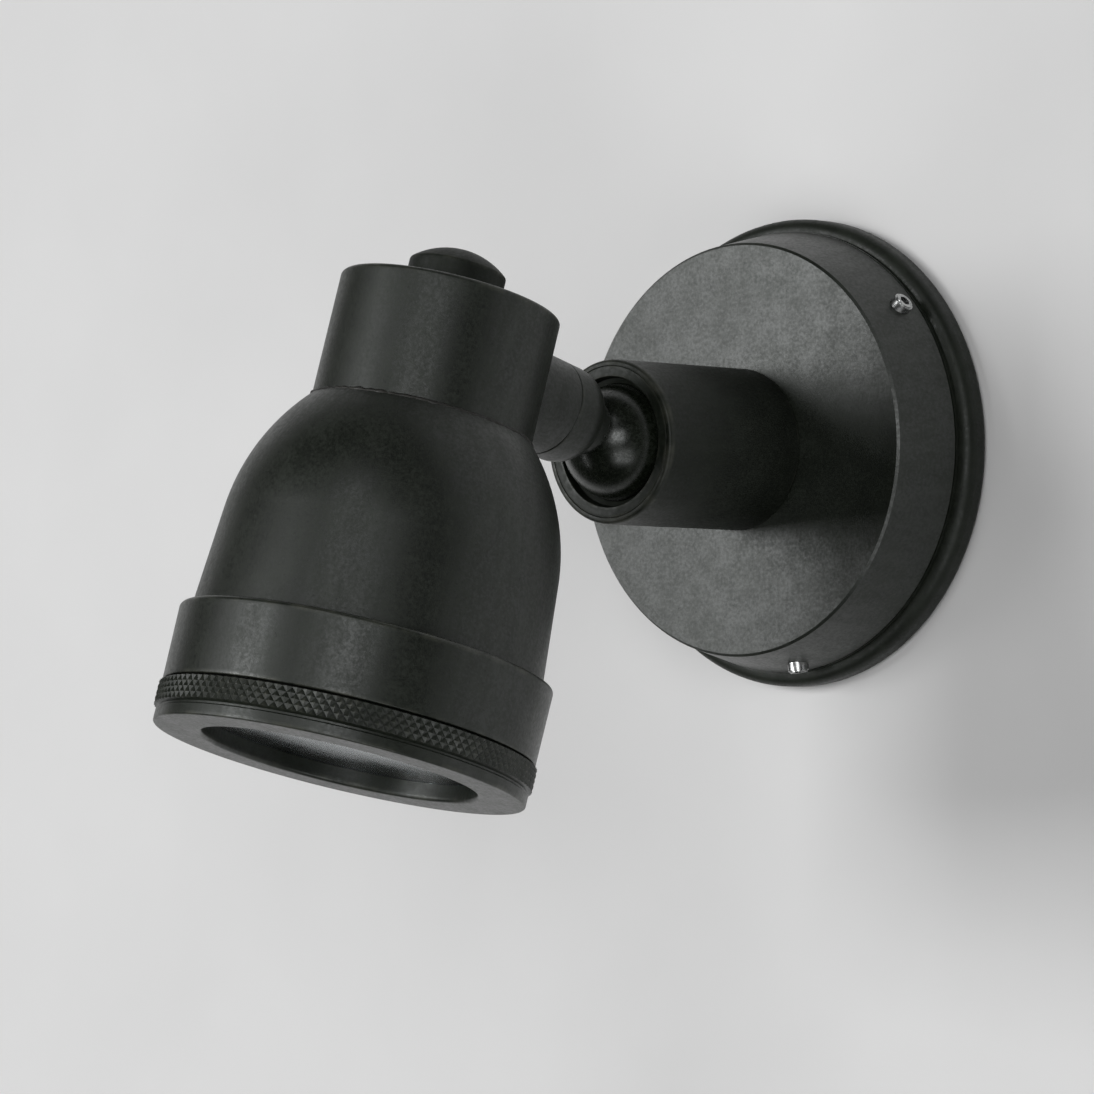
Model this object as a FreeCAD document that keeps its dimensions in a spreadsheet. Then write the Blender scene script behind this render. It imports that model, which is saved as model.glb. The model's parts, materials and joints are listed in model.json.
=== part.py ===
import FreeCAD, Part
import Sketcher
import math
import os
import re

# Pivoting spotlight wall light. Millimetres, +Z up. The wall is the plane Y = 0, with the origin at
# the centre of the wall plate's back face, and the light stands out from it along -Y. The round
# pieces are turned about one of three axes: the wall's normal, the stem and the head's own axis.

# name, value, what it is
SIZES = [
    # how the light is posed
    ("ball_from_wall", 53.0, "ball's centre, from the wall"),
    ("stem_tilt", 14.8, "angle between the stem and the wall's normal"),
    ("stem_clock", 9.2, "way that the stem tilts, from straight up towards +X"),
    ("head_turn", 3.5, "turn of the head about the stem"),
    ("stem_length", 53.2, "ball's centre to the head's axis"),
    # clearances
    ("running", 0.05, "clearance of threads and fits that stay put"),
    ("moving", 0.1, "clearance of fits that turn or slide"),
    ("seat_gap", 0.25, "gap where one piece stops just short of another"),
    # wall plate and its gasket
    ("flange_radius", 45.0, "wall plate"),
    ("flange_thickness", 5.4, ""),
    ("flange_front_round", 2.3, ""),
    ("flange_back_round", 1.2, ""),
    ("step_inset", 2.5, "bright step that the canopy meets, in from the rim"),
    ("step_height", 0.8, ""),
    ("web_thickness", 4.0, "floor of the wall plate"),
    ("ring_gap", 1.48, "from the canopy in to the ring that the grub screws bear on"),
    ("ring_wall", 2.4, ""),
    ("ring_end", 13.0, "ring's end, from the wall"),
    ("cable_hole_radius", 8.0, ""),
    ("slot_spacing", 51.0, "fixing slots, centre to centre"),
    ("slot_width", 4.8, ""),
    ("slot_length", 8.0, ""),
    ("gasket_inset", 3.5, "in from the rim"),
    ("gasket_width", 4.0, ""),
    ("gasket_depth", 1.2, ""),
    # earth terminal
    ("earth_from_centre", 25.0, ""),
    ("earth_pad_radius", 4.5, ""),
    ("earth_pad_height", 2.5, ""),
    ("earth_screw_radius", 2.0, ""),
    ("earth_head_radius", 3.5, ""),
    ("earth_head_height", 2.2, ""),
    ("earth_washer_radius", 4.2, ""),
    ("earth_washer_thickness", 0.8, ""),
    ("tag_thickness", 0.8, "ring terminal on the earth lead"),
    ("tag_barrel_radius", 1.75, ""),
    ("tag_barrel_start", 4.4, "from the earth screw's axis"),
    ("tag_barrel_length", 4.5, ""),
    # canopy
    ("canopy_back_radius", 42.35, ""),
    ("canopy_face_radius", 39.4, ""),
    ("canopy_face", 19.6, "canopy's face, from the wall"),
    ("canopy_edge_chamfer", 0.4, ""),
    ("canopy_wall", 2.2, ""),
    ("canopy_face_thickness", 2.4, ""),
    ("grub_radius", 2.0, "grub screws"),
    ("grub_length", 5.7, ""),
    ("grub_from_wall", 10.0, ""),
    ("grub_count", 3, ""),
    ("grub_clock", 38.0, "first grub screw, from +X towards +Z"),
    ("grub_socket", 1.1, "hexagon socket, centre to corner"),
    ("grub_socket_depth", 2.0, ""),
    ("grub_chamfer", 0.3, ""),
    # socket housing, which carries the ball
    ("housing_radius", 15.4, ""),
    ("housing_end", 56.3, "rim, from the wall"),
    ("housing_round", 0.9, ""),
    ("spigot_radius", 11.0, "threaded end that passes through the canopy"),
    ("spigot_end", 12.0, "from the wall"),
    ("wire_hole_radius", 8.5, ""),
    ("cup_bore_radius", 12.6, ""),
    ("cup_bore_floor", 40.5, "shoulder under the disc spring, from the wall"),
    ("ring_thread_radius", 14.2, "thread in the mouth"),
    ("housing_washer_radius", 15.5, ""),
    ("housing_washer_thickness", 1.0, ""),
    ("housing_nut_corner", 16.0, "centre to corner"),
    ("housing_nut_thickness", 3.4, ""),
    # ball and its seats
    ("ball_radius", 11.0, ""),
    ("retainer_back", 51.0, "retaining ring, from the wall"),
    ("retainer_recess", 0.35, "below the housing's rim"),
    ("retainer_lip", 2.5, "lip ahead of the ball's centre"),
    ("retainer_mouth_radius", 11.8, ""),
    ("cup_back", 42.5, "friction cup, from the wall"),
    ("cup_front", 50.8, ""),
    ("spring_thickness", 0.9, ""),
    ("spring_inner_radius", 9.2, ""),
    # neck, collar and nipple, from the ball's centre along the stem
    ("ball_bore_radius", 3.2, ""),
    ("ball_bore_flare", 4.6, ""),
    ("neck_radius", 5.2, ""),
    ("neck_end", 12.4, ""),
    ("collar_radius", 9.1, ""),
    ("collar_curve_radius", 6.6, ""),
    ("collar_start", 18.4, "end of the collar's curve"),
    ("collar_end", 22.6, ""),
    ("nipple_radius", 4.9, ""),
    ("nipple_bore_radius", 3.4, ""),
    ("nipple_start", 15.8, ""),
    ("nipple_overhang", 1.3, "nipple's end beyond the nut"),
    ("stem_washer_radius", 7.2, ""),
    ("stem_washer_thickness", 1.0, ""),
    ("stem_nut_corner", 7.4, "centre to corner"),
    ("stem_nut_thickness", 3.0, ""),
    # cap and stub, from the stem's axis along the head
    ("cap_radius", 20.25, ""),
    ("cap_wall", 2.2, ""),
    ("cap_top", 11.0, "above the stem's axis"),
    ("cap_top_thickness", 2.4, ""),
    ("cap_round", 0.8, ""),
    ("cap_bottom", 12.6, "below the stem's axis"),
    ("stub_seat", 16.4, "stub's flat inner end, from the head's axis"),
    ("stub_spigot_radius", 7.4, ""),
    # plug on the cap
    ("plug_radius", 8.9, ""),
    ("plug_skirt", 5.4, ""),
    ("plug_dome", 3.4, ""),
    ("plug_stud_radius", 5.0, ""),
    ("plug_stud_length", 5.0, ""),
    ("plug_groove_radius", 6.8, "middle of the O-ring's groove"),
    ("plug_groove_width", 2.0, ""),
    ("plug_groove_depth", 1.5, ""),
    ("plug_oring_radius", 0.7, "section"),
    # bell
    ("bell_mouth_radius", 32.1, ""),
    ("bell_cone_angle", 4.3, ""),
    ("bell_arc_end", 36.0, "where the shoulder's arc runs into the cone"),
    ("bell_arc_radius", 39.0, ""),
    ("bell_wall", 2.2, ""),
    ("bell_end", 60.5, ""),
    ("bell_ledge_radius", 13.5, "hole in the bell's top"),
    ("bell_ledge_thickness", 2.2, ""),
    # rim band
    ("band_top", 54.7, ""),
    ("band_radius", 34.2, ""),
    ("band_foot_radius", 34.05, ""),
    ("band_round", 0.9, ""),
    ("band_end", 68.8, ""),
    ("band_bridge", 2.0, "bridge between the band and its inner skirt"),
    ("band_thread_radius", 31.55, ""),
    ("skirt_radius", 29.2, "inner skirt that presses on the gasket"),
    ("skirt_wall", 1.8, ""),
    ("skirt_end", 68.6, ""),
    ("oring_groove_radius", 33.05, ""),
    ("oring_groove_depth", 1.2, ""),
    ("bezel_oring_radius", 0.6, "section"),
    # bezel, glass and gasket
    ("knurl_radius", 34.6, ""),
    ("knurl_end", 73.4, ""),
    ("knurl_round", 0.6, ""),
    ("knurl_lip_radius", 34.3, ""),
    ("knurl_lip", 0.5, ""),
    ("bezel_foot_radius", 34.0, ""),
    ("bezel_face", 76.4, ""),
    ("bezel_edge", 0.35, ""),
    ("bezel_hole_radius", 25.2, ""),
    ("bezel_hole_chamfer", 0.7, ""),
    ("bezel_lip", 3.2, "face to the glass"),
    ("bezel_thread_start", 62.9, ""),
    ("bezel_thread_wall", 1.9, ""),
    ("glass_radius", 29.2, ""),
    ("glass_thickness", 3.2, ""),
    ("glass_edge", 0.3, ""),
    ("lens_gasket_width", 2.4, ""),
    # lampholder and its plate
    ("plate_radius", 17.4, ""),
    ("plate_thickness", 1.2, ""),
    ("plate_wire_hole", 1.7, ""),
    ("plate_screw_place", 15.7, "from the head's axis"),
    ("holder_screw_place", 9.2, "from the head's axis"),
    ("small_screw_radius", 1.5, ""),
    ("small_head_radius", 2.6, ""),
    ("small_head_height", 1.7, ""),
    ("holder_screw_grip", 7.0, "screw's length below its head"),
    ("holder_radius", 12.5, ""),
    ("holder_height", 11.0, ""),
    ("pin_place", 5.0, "lamp pin, from the head's axis"),
    ("pin_socket_radius", 2.7, ""),
    ("pin_socket_depth", 8.2, ""),
    # lamp
    ("lamp_front", 68.9, ""),
    ("lamp_radius", 25.0, ""),
    ("lamp_rim", 3.0, ""),
    ("lamp_neck_radius", 13.5, ""),
    ("lamp_neck", 38.0, "where the reflector meets the base"),
    ("lamp_flank_radius", 42.0, ""),
    ("lamp_wall", 1.6, ""),
    ("lamp_base_radius", 11.5, ""),
    ("lamp_base_gap", 0.3, "between the base and the lampholder"),
    ("lamp_front_thickness", 1.5, ""),
    ("pin_radius", 1.6, ""),
    ("pin_length", 5.5, ""),
    ("pin_head_radius", 2.5, ""),
    ("pin_head_length", 2.0, ""),
    # terminal block and leads
    ("block_width", 22.0, ""),
    ("block_depth", 11.0, ""),
    ("block_height", 10.0, ""),
    ("block_from_centre", 17.2, "block's near side, from the centre"),
    ("block_pitch", 7.0, ""),
    ("block_hole_radius", 1.7, ""),
    ("block_hole_height", 4.5, "wire hole, above the wall plate's floor"),
    ("block_screw_radius", 1.4, ""),
    ("block_screw_length", 3.0, ""),
    ("block_screw_inset", 2.8, "screw's centre, from the block's side"),
    ("lead_radius", 1.15, ""),
    ("lead_spread", 1.5, "lead's centre, from the middle of the stem"),
    ("lead_turn", 14.2, "where the leads turn from the block's poles, from the centre"),
    ("supply_lead_gap", 1.0, "supply leads' ends, behind the ball"),
    ("head_lead_gap", 0.8, "head leads' ends, beyond the nipple"),
]
NAMES = {name for name, number, meaning in SIZES}

# Places and sizes that follow from the ones above.
STEP_FACE = "(flange_thickness + step_height)"
STEP_RADIUS = "(flange_radius - step_inset)"
GASKET_RADIUS = "(flange_radius - gasket_inset)"
CANOPY_BACK = f"({STEP_FACE} + seat_gap)"
CANOPY_SLOPE = f"((canopy_back_radius - canopy_face_radius) / (canopy_face - {CANOPY_BACK}))"
CANOPY_INSIDE = "(canopy_face - canopy_face_thickness)"
CANOPY_BORE = f"(canopy_back_radius - canopy_wall - {CANOPY_SLOPE} * (ring_end - {CANOPY_BACK}))"
RING_RADIUS = f"({CANOPY_BORE} - ring_gap)"
RETAINER_FRONT = "(housing_end - retainer_recess)"
SEAT_RADIUS = "(ball_radius + moving)"
LIP_RADIUS = f"sqrt({SEAT_RADIUS} ^ 2 - retainer_lip ^ 2)"
STUB_FACE = "(stem_length - collar_end - seat_gap)"
WASHER_START = "(stem_length - stub_seat + moving)"
NUT_START = f"({WASHER_START} + stem_washer_thickness)"
NIPPLE_END = f"({NUT_START} + stem_nut_thickness + nipple_overhang)"
PLATE_TOP = "(cap_bottom + bell_ledge_thickness)"
HOLDER_TOP = f"({PLATE_TOP} + plate_thickness)"
HOLDER_END = f"({HOLDER_TOP} + holder_height)"
LAMP_BACK = f"({HOLDER_END} + lamp_base_gap)"
GLASS_FRONT = "(bezel_face - bezel_lip)"
GLASS_SEAT = f"({GLASS_FRONT} + running)"
GLASS_BACK = f"({GLASS_FRONT} - glass_thickness)"
BELL_ARC_END_RADIUS = "(bell_mouth_radius - (band_top - bell_arc_end) * tan(bell_cone_angle))"
BELL_ARC_X = f"({BELL_ARC_END_RADIUS} - bell_arc_radius * cos(bell_cone_angle))"
BELL_ARC_Y = "(bell_arc_end + bell_arc_radius * sin(bell_cone_angle))"
BELL_INNER_ARC = "(bell_arc_radius - bell_wall)"
BRIDGE_END = "(bell_end + band_bridge)"
BEZEL_SHOULDER = "(band_end + seat_gap)"
BEZEL_THREAD_RADIUS = "(band_thread_radius - moving)"
BEZEL_INSIDE = f"({BEZEL_THREAD_RADIUS} - bezel_thread_wall)"
WIRE_HEIGHT = "(web_thickness + block_hole_height)"
BLOCK_TOP = "(web_thickness + block_height)"
EARTH_SEAT = "(web_thickness + earth_pad_height)"
TAG_SEAT = f"({EARTH_SEAT} + earth_washer_thickness)"
TAG_LEAD_HEIGHT = f"({TAG_SEAT} + tag_barrel_radius)"

doc = FreeCAD.newDocument("spotlight")
sheet = doc.addObject("Spreadsheet::Sheet", "sizes")
for row, (name, number, meaning) in enumerate(SIZES, 1):
    sheet.set(f"A{row}", name)
    sheet.set(f"B{row}", str(number))
    sheet.set(f"C{row}", meaning)
    sheet.setAlias(f"B{row}", name)
doc.recompute()


def formula(text):
    """The text with each size's name pointing at its cell."""
    return re.sub(r"[a-z_]+", lambda word: "sizes." + word[0] if word[0] in NAMES else word[0], text)


def value(text):
    """The number that a formula gives."""
    return float(sheet.evalExpression(formula(text)))


def bind(thing, **formulas):
    """Ties properties of an object to formulas; a double underscore stands for a dot."""
    for prop, text in formulas.items():
        thing.setExpression(prop.replace("__", "."), formula(text))
    return thing


# The three frames. In each, local +Z is the axis that the pieces are turned about.
wall_frame = FreeCAD.Placement(FreeCAD.Vector(), FreeCAD.Rotation(FreeCAD.Vector(1, 0, 0), 90))
ball_centre = FreeCAD.Vector(0, -value("ball_from_wall"), 0)
tilt_axis = FreeCAD.Vector(value("cos(stem_clock)"), 0, -value("sin(stem_clock)"))
stem = FreeCAD.Rotation(tilt_axis, -value("stem_tilt")).multVec(FreeCAD.Vector(0, -1, 0))
down = FreeCAD.Rotation(stem, value("head_turn")).multVec(tilt_axis.cross(stem))
stem_frame = FreeCAD.Placement(ball_centre, FreeCAD.Rotation(down, stem.cross(down), stem))
head_frame = FreeCAD.Placement(
    ball_centre + stem * value("stem_length"),
    FreeCAD.Rotation(-stem, down.cross(-stem), down),
)

ALONG_X = FreeCAD.Vector(1, 0, 0)
ALONG_Y = FreeCAD.Vector(0, 1, 0)
ALONG_Z = FreeCAD.Vector(0, 0, 1)

pieces = {}


def piece(label, thing, frame, height="0", turn="0"):
    """Names a finished piece and puts it in its frame, raised along and turned about its axis."""
    thing.Label = label
    raised = ALONG_Z * value(height)
    thing.Placement = frame * FreeCAD.Placement(raised, FreeCAD.Rotation(ALONG_Z, value(turn)))
    pieces[label] = thing


def turned(name, corners):
    """A body turned about local Z from a closed outline. A corner is (radius, height), or (radius,
    height, arc radius, side) where an arc leads to it, bulging to the right (+1) or left (-1)."""
    body = doc.addObject("PartDesign::Body", name)
    plane = next(item for item in body.Origin.OriginFeatures if item.Role == "XZ_Plane")
    sketch = body.newObject("Sketcher::SketchObject", name + "_outline")
    sketch.AttachmentSupport = [(plane, "")]
    sketch.MapMode = "FlatFace"
    points = [FreeCAD.Vector(value(corner[0]), value(corner[1]), 0) for corner in corners]
    ends = []
    for index, corner in enumerate(corners):
        start, end = points[index - 1], points[index]
        if len(corner) == 2:
            edge = sketch.addGeometry(Part.LineSegment(start, end), False)
            ends.append((edge, 1, 2))
            continue
        radius, side = value(corner[2]), corner[3]
        chord = end - start
        right = FreeCAD.Vector(chord.y, -chord.x, 0).normalize() * side
        depth = (radius ** 2 - (chord.Length / 2) ** 2) ** 0.5
        centre = (start + end) / 2 - right * depth
        from_point, to_point = (start, end) if side > 0 else (end, start)
        from_angle = math.atan2(from_point.y - centre.y, from_point.x - centre.x)
        to_angle = math.atan2(to_point.y - centre.y, to_point.x - centre.x)
        if to_angle < from_angle:
            to_angle += 2 * math.pi
        circle = Part.Circle(centre, ALONG_Z, radius)
        edge = sketch.addGeometry(Part.ArcOfCircle(circle, from_angle, to_angle), False)
        ends.append((edge, 1, 2) if side > 0 else (edge, 2, 1))
        sketch.addConstraint(Sketcher.Constraint("Radius", edge, radius))
        bind(sketch, **{f"Constraints[{sketch.ConstraintCount - 1}]": corner[2]})
    for index, corner in enumerate(corners):
        edge, first, last = ends[index]
        following, start, finish = ends[(index + 1) % len(ends)]
        sketch.addConstraint(Sketcher.Constraint("Coincident", edge, last, following, start))
        for kind, text, number in (
            ("DistanceX", corner[0], points[index].x),
            ("DistanceY", corner[1], points[index].y),
        ):
            if text == "0":
                axis = -2 if kind == "DistanceX" else -1
                sketch.addConstraint(Sketcher.Constraint("PointOnObject", edge, last, axis))
                continue
            sketch.addConstraint(Sketcher.Constraint(kind, edge, last, number))
            bind(sketch, **{f"Constraints[{sketch.ConstraintCount - 1}]": text})
    revolve = body.newObject("PartDesign::Revolution", name + "_turned")
    revolve.Profile = sketch
    revolve.ReferenceAxis = (sketch, ["V_Axis"])
    revolve.Angle = 360
    return body


def rod(name, radius, length, x="0", y="0", z="0", along=ALONG_Z):
    """A cylinder that starts at x, y, z and runs along a direction."""
    thing = doc.addObject("Part::Cylinder", name)
    bind(thing, Radius=radius, Height=length)
    return stand(thing, x, y, z, along)


def prism(name, corner, length, x="0", y="0", z="0", along=ALONG_Z):
    """A hexagonal prism, corner from its centre, that starts at x, y, z."""
    thing = doc.addObject("Part::Prism", name)
    thing.Polygon = 6
    bind(thing, Circumradius=corner, Height=length)
    return stand(thing, x, y, z, along)


def slab(name, length, width, height, x, y, z):
    """A box whose lowest corner is at x, y, z."""
    thing = doc.addObject("Part::Box", name)
    return stand(bind(thing, Length=length, Width=width, Height=height), x, y, z, ALONG_Z)


def torus(name, ring_radius, section_radius):
    """An O-ring about local Z."""
    return bind(doc.addObject("Part::Torus", name), Radius1=ring_radius, Radius2=section_radius)


def washer(name, inner, outer, start, thickness):
    """A flat ring about local Z."""
    finish = f"{start} + {thickness}"
    return turned(name, [(inner, start), (outer, start), (outer, finish), (inner, finish)])


def stand(thing, x, y, z, along):
    """Points an object's own Z along a direction and ties its place to formulas."""
    thing.Placement = FreeCAD.Placement(FreeCAD.Vector(), FreeCAD.Rotation(ALONG_Z, along))
    return bind(thing, Placement__Base__x=x, Placement__Base__y=y, Placement__Base__z=z)


def cut(name, base, *tools):
    """The base less the tools."""
    thing = doc.addObject("Part::Cut", name)
    thing.Base = base
    thing.Tool = tools[0] if len(tools) == 1 else fuse(name + "_tools", *tools)
    return thing


def fuse(name, *things):
    """One solid from several."""
    thing = doc.addObject("Part::MultiFuse", name)
    thing.Shapes = list(things)
    return thing


def group(name, *things):
    """Separate solids kept in one node."""
    thing = doc.addObject("Part::Compound", name)
    thing.Links = list(things)
    return thing


def lead(name, radius, routes):
    """Insulated leads, each a tube along straight runs joined by tangent arcs."""
    tubes = []
    for route in routes:
        points = [FreeCAD.Vector(*point) for point in route]
        edges = []
        start = points[0]
        for before, corner, after in zip(points, points[1:], points[2:]):
            back, ahead = before - corner, after - corner
            half_turn = (math.pi - back.getAngle(ahead)) / 2
            setback = 0.45 * min(back.Length, ahead.Length)
            bend = setback / math.tan(half_turn)
            enter = corner + FreeCAD.Vector(back).normalize() * setback
            leave = corner + FreeCAD.Vector(ahead).normalize() * setback
            inward = ((enter + leave) / 2 - corner).normalize()
            middle = corner + inward * bend * (1 / math.cos(half_turn) - 1)
            edges.append(Part.LineSegment(start, enter).toShape())
            edges.append(Part.Arc(enter, middle, leave).toShape())
            start = leave
            print(name, "bend radius", round(bend, 1))
        edges.append(Part.LineSegment(start, points[-1]).toShape())
        path = Part.Wire(edges)
        circle = Part.Circle(points[0], points[1] - points[0], radius)
        tube = path.makePipeShell([Part.Wire([circle.toShape()])], True, False)
        share = tube.Volume / (math.pi * radius ** 2 * path.Length)
        print(name, "volume over section times length", round(share, 4))
        tubes.append(tube)
    thing = doc.addObject("Part::Feature", name)
    thing.Shape = tubes[0] if len(tubes) == 1 else Part.makeCompound(tubes)
    return thing


# ---- wall plate, gasket and earth terminal; heights are from the wall ----

def wall_plate():
    gasket_inner = f"{GASKET_RADIUS} - gasket_width"
    disc = turned("plate_disc", [
        ("cable_hole_radius", "0"),
        (gasket_inner, "0"),
        (gasket_inner, "gasket_depth"),
        (GASKET_RADIUS, "gasket_depth"),
        (GASKET_RADIUS, "0"),
        ("flange_radius - flange_back_round", "0"),
        ("flange_radius", "flange_back_round", "flange_back_round", 1),
        ("flange_radius", "flange_thickness - flange_front_round"),
        ("flange_radius - flange_front_round", "flange_thickness", "flange_front_round", 1),
        (STEP_RADIUS, "flange_thickness"),
        (STEP_RADIUS, STEP_FACE),
        (RING_RADIUS, STEP_FACE),
        (RING_RADIUS, "ring_end"),
        (f"{RING_RADIUS} - ring_wall", "ring_end"),
        (f"{RING_RADIUS} - ring_wall", "web_thickness"),
        ("cable_hole_radius", "web_thickness"),
    ])
    pad = rod("earth_pad", "earth_pad_radius", "earth_pad_height",
              y="earth_from_centre", z="web_thickness")
    cutters = [
        rod("earth_hole", "earth_screw_radius + running", EARTH_SEAT, y="earth_from_centre"),
        rod("block_screw_hole", "small_screw_radius + running", "web_thickness",
            x="block_pitch / 2", y="-(block_from_centre + block_depth / 2)"),
    ]
    straight = "(slot_length - slot_width)"
    for side, sign in (("left", "-"), ("right", "")):
        middle = f"{sign}slot_spacing / 2"
        cutters.append(slab(f"slot_{side}", straight, "slot_width", "web_thickness",
                            f"{middle} - {straight} / 2", "-slot_width / 2", "0"))
        for end, way in (("in", "-"), ("out", "+")):
            cutters.append(rod(f"slot_{side}_{end}", "slot_width / 2", "web_thickness",
                               x=f"{middle} {way} {straight} / 2"))
    piece("wall_plate", cut("plate", fuse("plate_blank", disc, pad), *cutters), wall_frame)


def wall_gasket():
    inner = f"{GASKET_RADIUS} - gasket_width + seat_gap"
    outer = f"{GASKET_RADIUS} - seat_gap"
    piece("wall_gasket", washer("gasket", inner, outer, "0", "gasket_depth"), wall_frame)


def earth_terminal():
    place = {"y": "earth_from_centre"}
    thickness = "earth_washer_thickness"
    hole = rod("earth_washer_hole", "earth_screw_radius + running", thickness, z=EARTH_SEAT, **place)
    disc = rod("earth_washer_disc", "earth_washer_radius", thickness, z=EARTH_SEAT, **place)
    piece("earth_washer", cut("earth_washer_cut", disc, hole), wall_frame)
    eye = rod("tag_eye", "earth_washer_radius", "tag_thickness", z=TAG_SEAT, **place)
    eye_hole = rod("tag_eye_hole", "earth_screw_radius + running", "tag_thickness", z=TAG_SEAT, **place)
    tongue = slab("tag_tongue", "tag_barrel_start", "tag_barrel_radius", "tag_thickness",
                  "-tag_barrel_start", "earth_from_centre - tag_barrel_radius / 2", TAG_SEAT)
    barrel_place = {
        "x": "-tag_barrel_start", "y": "earth_from_centre", "z": TAG_LEAD_HEIGHT, "along": -ALONG_X,
    }
    barrel = rod("tag_barrel", "tag_barrel_radius", "tag_barrel_length", **barrel_place)
    bore = rod("tag_bore", "lead_radius + running", "tag_barrel_length", **barrel_place)
    tag = cut("tag", fuse("tag_blank", eye, tongue, barrel), eye_hole, bore)
    piece("earth_tag", tag, wall_frame)
    head_start = f"({TAG_SEAT} + tag_thickness)"
    length = f"{head_start} - gasket_depth"
    shank = rod("earth_shank", "earth_screw_radius", length, z="gasket_depth", **place)
    head = rod("earth_head", "earth_head_radius", "earth_head_height", z=head_start, **place)
    piece("earth_screw", fuse("earth_screw_whole", shank, head), wall_frame)


# ---- canopy and its grub screws ----

def canopy():
    height = f"({CANOPY_INSIDE} - {CANOPY_BACK})"
    shell = turned("canopy_shell", [
        ("canopy_back_radius - canopy_wall", CANOPY_BACK),
        ("canopy_back_radius", CANOPY_BACK),
        (f"canopy_face_radius + {CANOPY_SLOPE} * canopy_edge_chamfer",
         "canopy_face - canopy_edge_chamfer"),
        ("canopy_face_radius - canopy_edge_chamfer", "canopy_face"),
        ("spigot_radius + running", "canopy_face"),
        ("spigot_radius + running", CANOPY_INSIDE),
        (f"canopy_back_radius - canopy_wall - {CANOPY_SLOPE} * {height}", CANOPY_INSIDE),
    ])
    holes = [
        rod(f"grub_hole_{index}", "grub_radius + running", "canopy_back_radius + canopy_face_radius",
            z="grub_from_wall", along=direction)
        for index, direction in enumerate(grub_directions())
    ]
    piece("canopy", cut("canopy_drilled", shell, *holes), wall_frame, turn="grub_clock")


def grub_directions():
    """The way that each grub screw points, counted from the first."""
    count = int(value("grub_count"))
    return [
        FreeCAD.Rotation(ALONG_Z, 360 * index / count).multVec(ALONG_X)
        for index in range(count)
    ]


def grub_screws():
    start = f"({RING_RADIUS} + running)"
    socket_start = f"({start} + grub_length - grub_socket_depth)"
    screws = []
    for index, direction in enumerate(grub_directions()):
        def place(distance):
            return {
                "x": f"{distance} * {direction.x}",
                "y": f"{distance} * {direction.y}",
                "z": "grub_from_wall",
                "along": direction,
            }
        shank = rod(f"grub_shank_{index}", "grub_radius", "grub_length - grub_chamfer", **place(start))
        tip = rod(f"grub_tip_{index}", "grub_radius - grub_chamfer", "grub_length", **place(start))
        socket = prism(f"grub_socket_{index}", "grub_socket", "grub_socket_depth", **place(socket_start))
        screws.append(cut(f"grub_{index}", fuse(f"grub_blank_{index}", shank, tip), socket))
    piece("grub_screws", group("grubs", *screws), wall_frame, turn="grub_clock")


# ---- socket housing, which holds the ball on the canopy ----

def socket_housing():
    piece("socket_housing", turned("housing", [
        ("wire_hole_radius", "spigot_end"),
        ("spigot_radius", "spigot_end"),
        ("spigot_radius", "canopy_face"),
        ("housing_radius", "canopy_face"),
        ("housing_radius", "housing_end - housing_round"),
        ("housing_radius - housing_round", "housing_end", "housing_round", 1),
        ("ring_thread_radius", "housing_end"),
        ("ring_thread_radius", "retainer_back - running"),
        ("cup_bore_radius", "retainer_back - running"),
        ("cup_bore_radius", "cup_bore_floor"),
        ("wire_hole_radius", "cup_bore_floor"),
    ]), wall_frame)


def housing_fixings():
    start = f"({CANOPY_INSIDE} - housing_washer_thickness)"
    hole = "spigot_radius + running"
    disc = washer("lock_washer", hole, "housing_washer_radius", start, "housing_washer_thickness")
    piece("housing_washer", disc, wall_frame)
    nut_start = f"({start} - housing_nut_thickness)"
    blank = prism("housing_nut_blank", "housing_nut_corner", "housing_nut_thickness", z=nut_start)
    thread = rod("housing_nut_thread", hole, "housing_nut_thickness", z=nut_start)
    piece("housing_nut", cut("housing_nut_cut", blank, thread), wall_frame)


def ball_retaining_ring():
    piece("ball_retaining_ring", turned("retainer", [
        (SEAT_RADIUS, "retainer_back"),
        ("ring_thread_radius - running", "retainer_back"),
        ("ring_thread_radius - running", RETAINER_FRONT),
        ("retainer_mouth_radius", RETAINER_FRONT),
        (LIP_RADIUS, "ball_from_wall + retainer_lip"),
        (SEAT_RADIUS, "ball_from_wall", SEAT_RADIUS, -1),
    ]), wall_frame)


def friction_cup():
    front = f"sqrt({SEAT_RADIUS} ^ 2 - (ball_from_wall - cup_front) ^ 2)"
    rim = f"ball_from_wall - sqrt({SEAT_RADIUS} ^ 2 - wire_hole_radius ^ 2)"
    piece("friction_cup", turned("cup", [
        ("wire_hole_radius", "cup_back"),
        ("cup_bore_radius - moving", "cup_back"),
        ("cup_bore_radius - moving", "cup_front"),
        (front, "cup_front"),
        ("wire_hole_radius", rim, SEAT_RADIUS, -1),
    ]), wall_frame)


def disc_spring():
    outer = "cup_bore_radius - seat_gap"
    crest = "cup_back - moving"
    piece("disc_spring", turned("spring", [
        (outer, "cup_bore_floor"),
        (outer, "cup_bore_floor + spring_thickness"),
        ("spring_inner_radius", crest),
        ("spring_inner_radius", f"{crest} - spring_thickness"),
    ]), wall_frame)


# ---- terminal block and the leads inside the canopy and the housing ----

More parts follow.
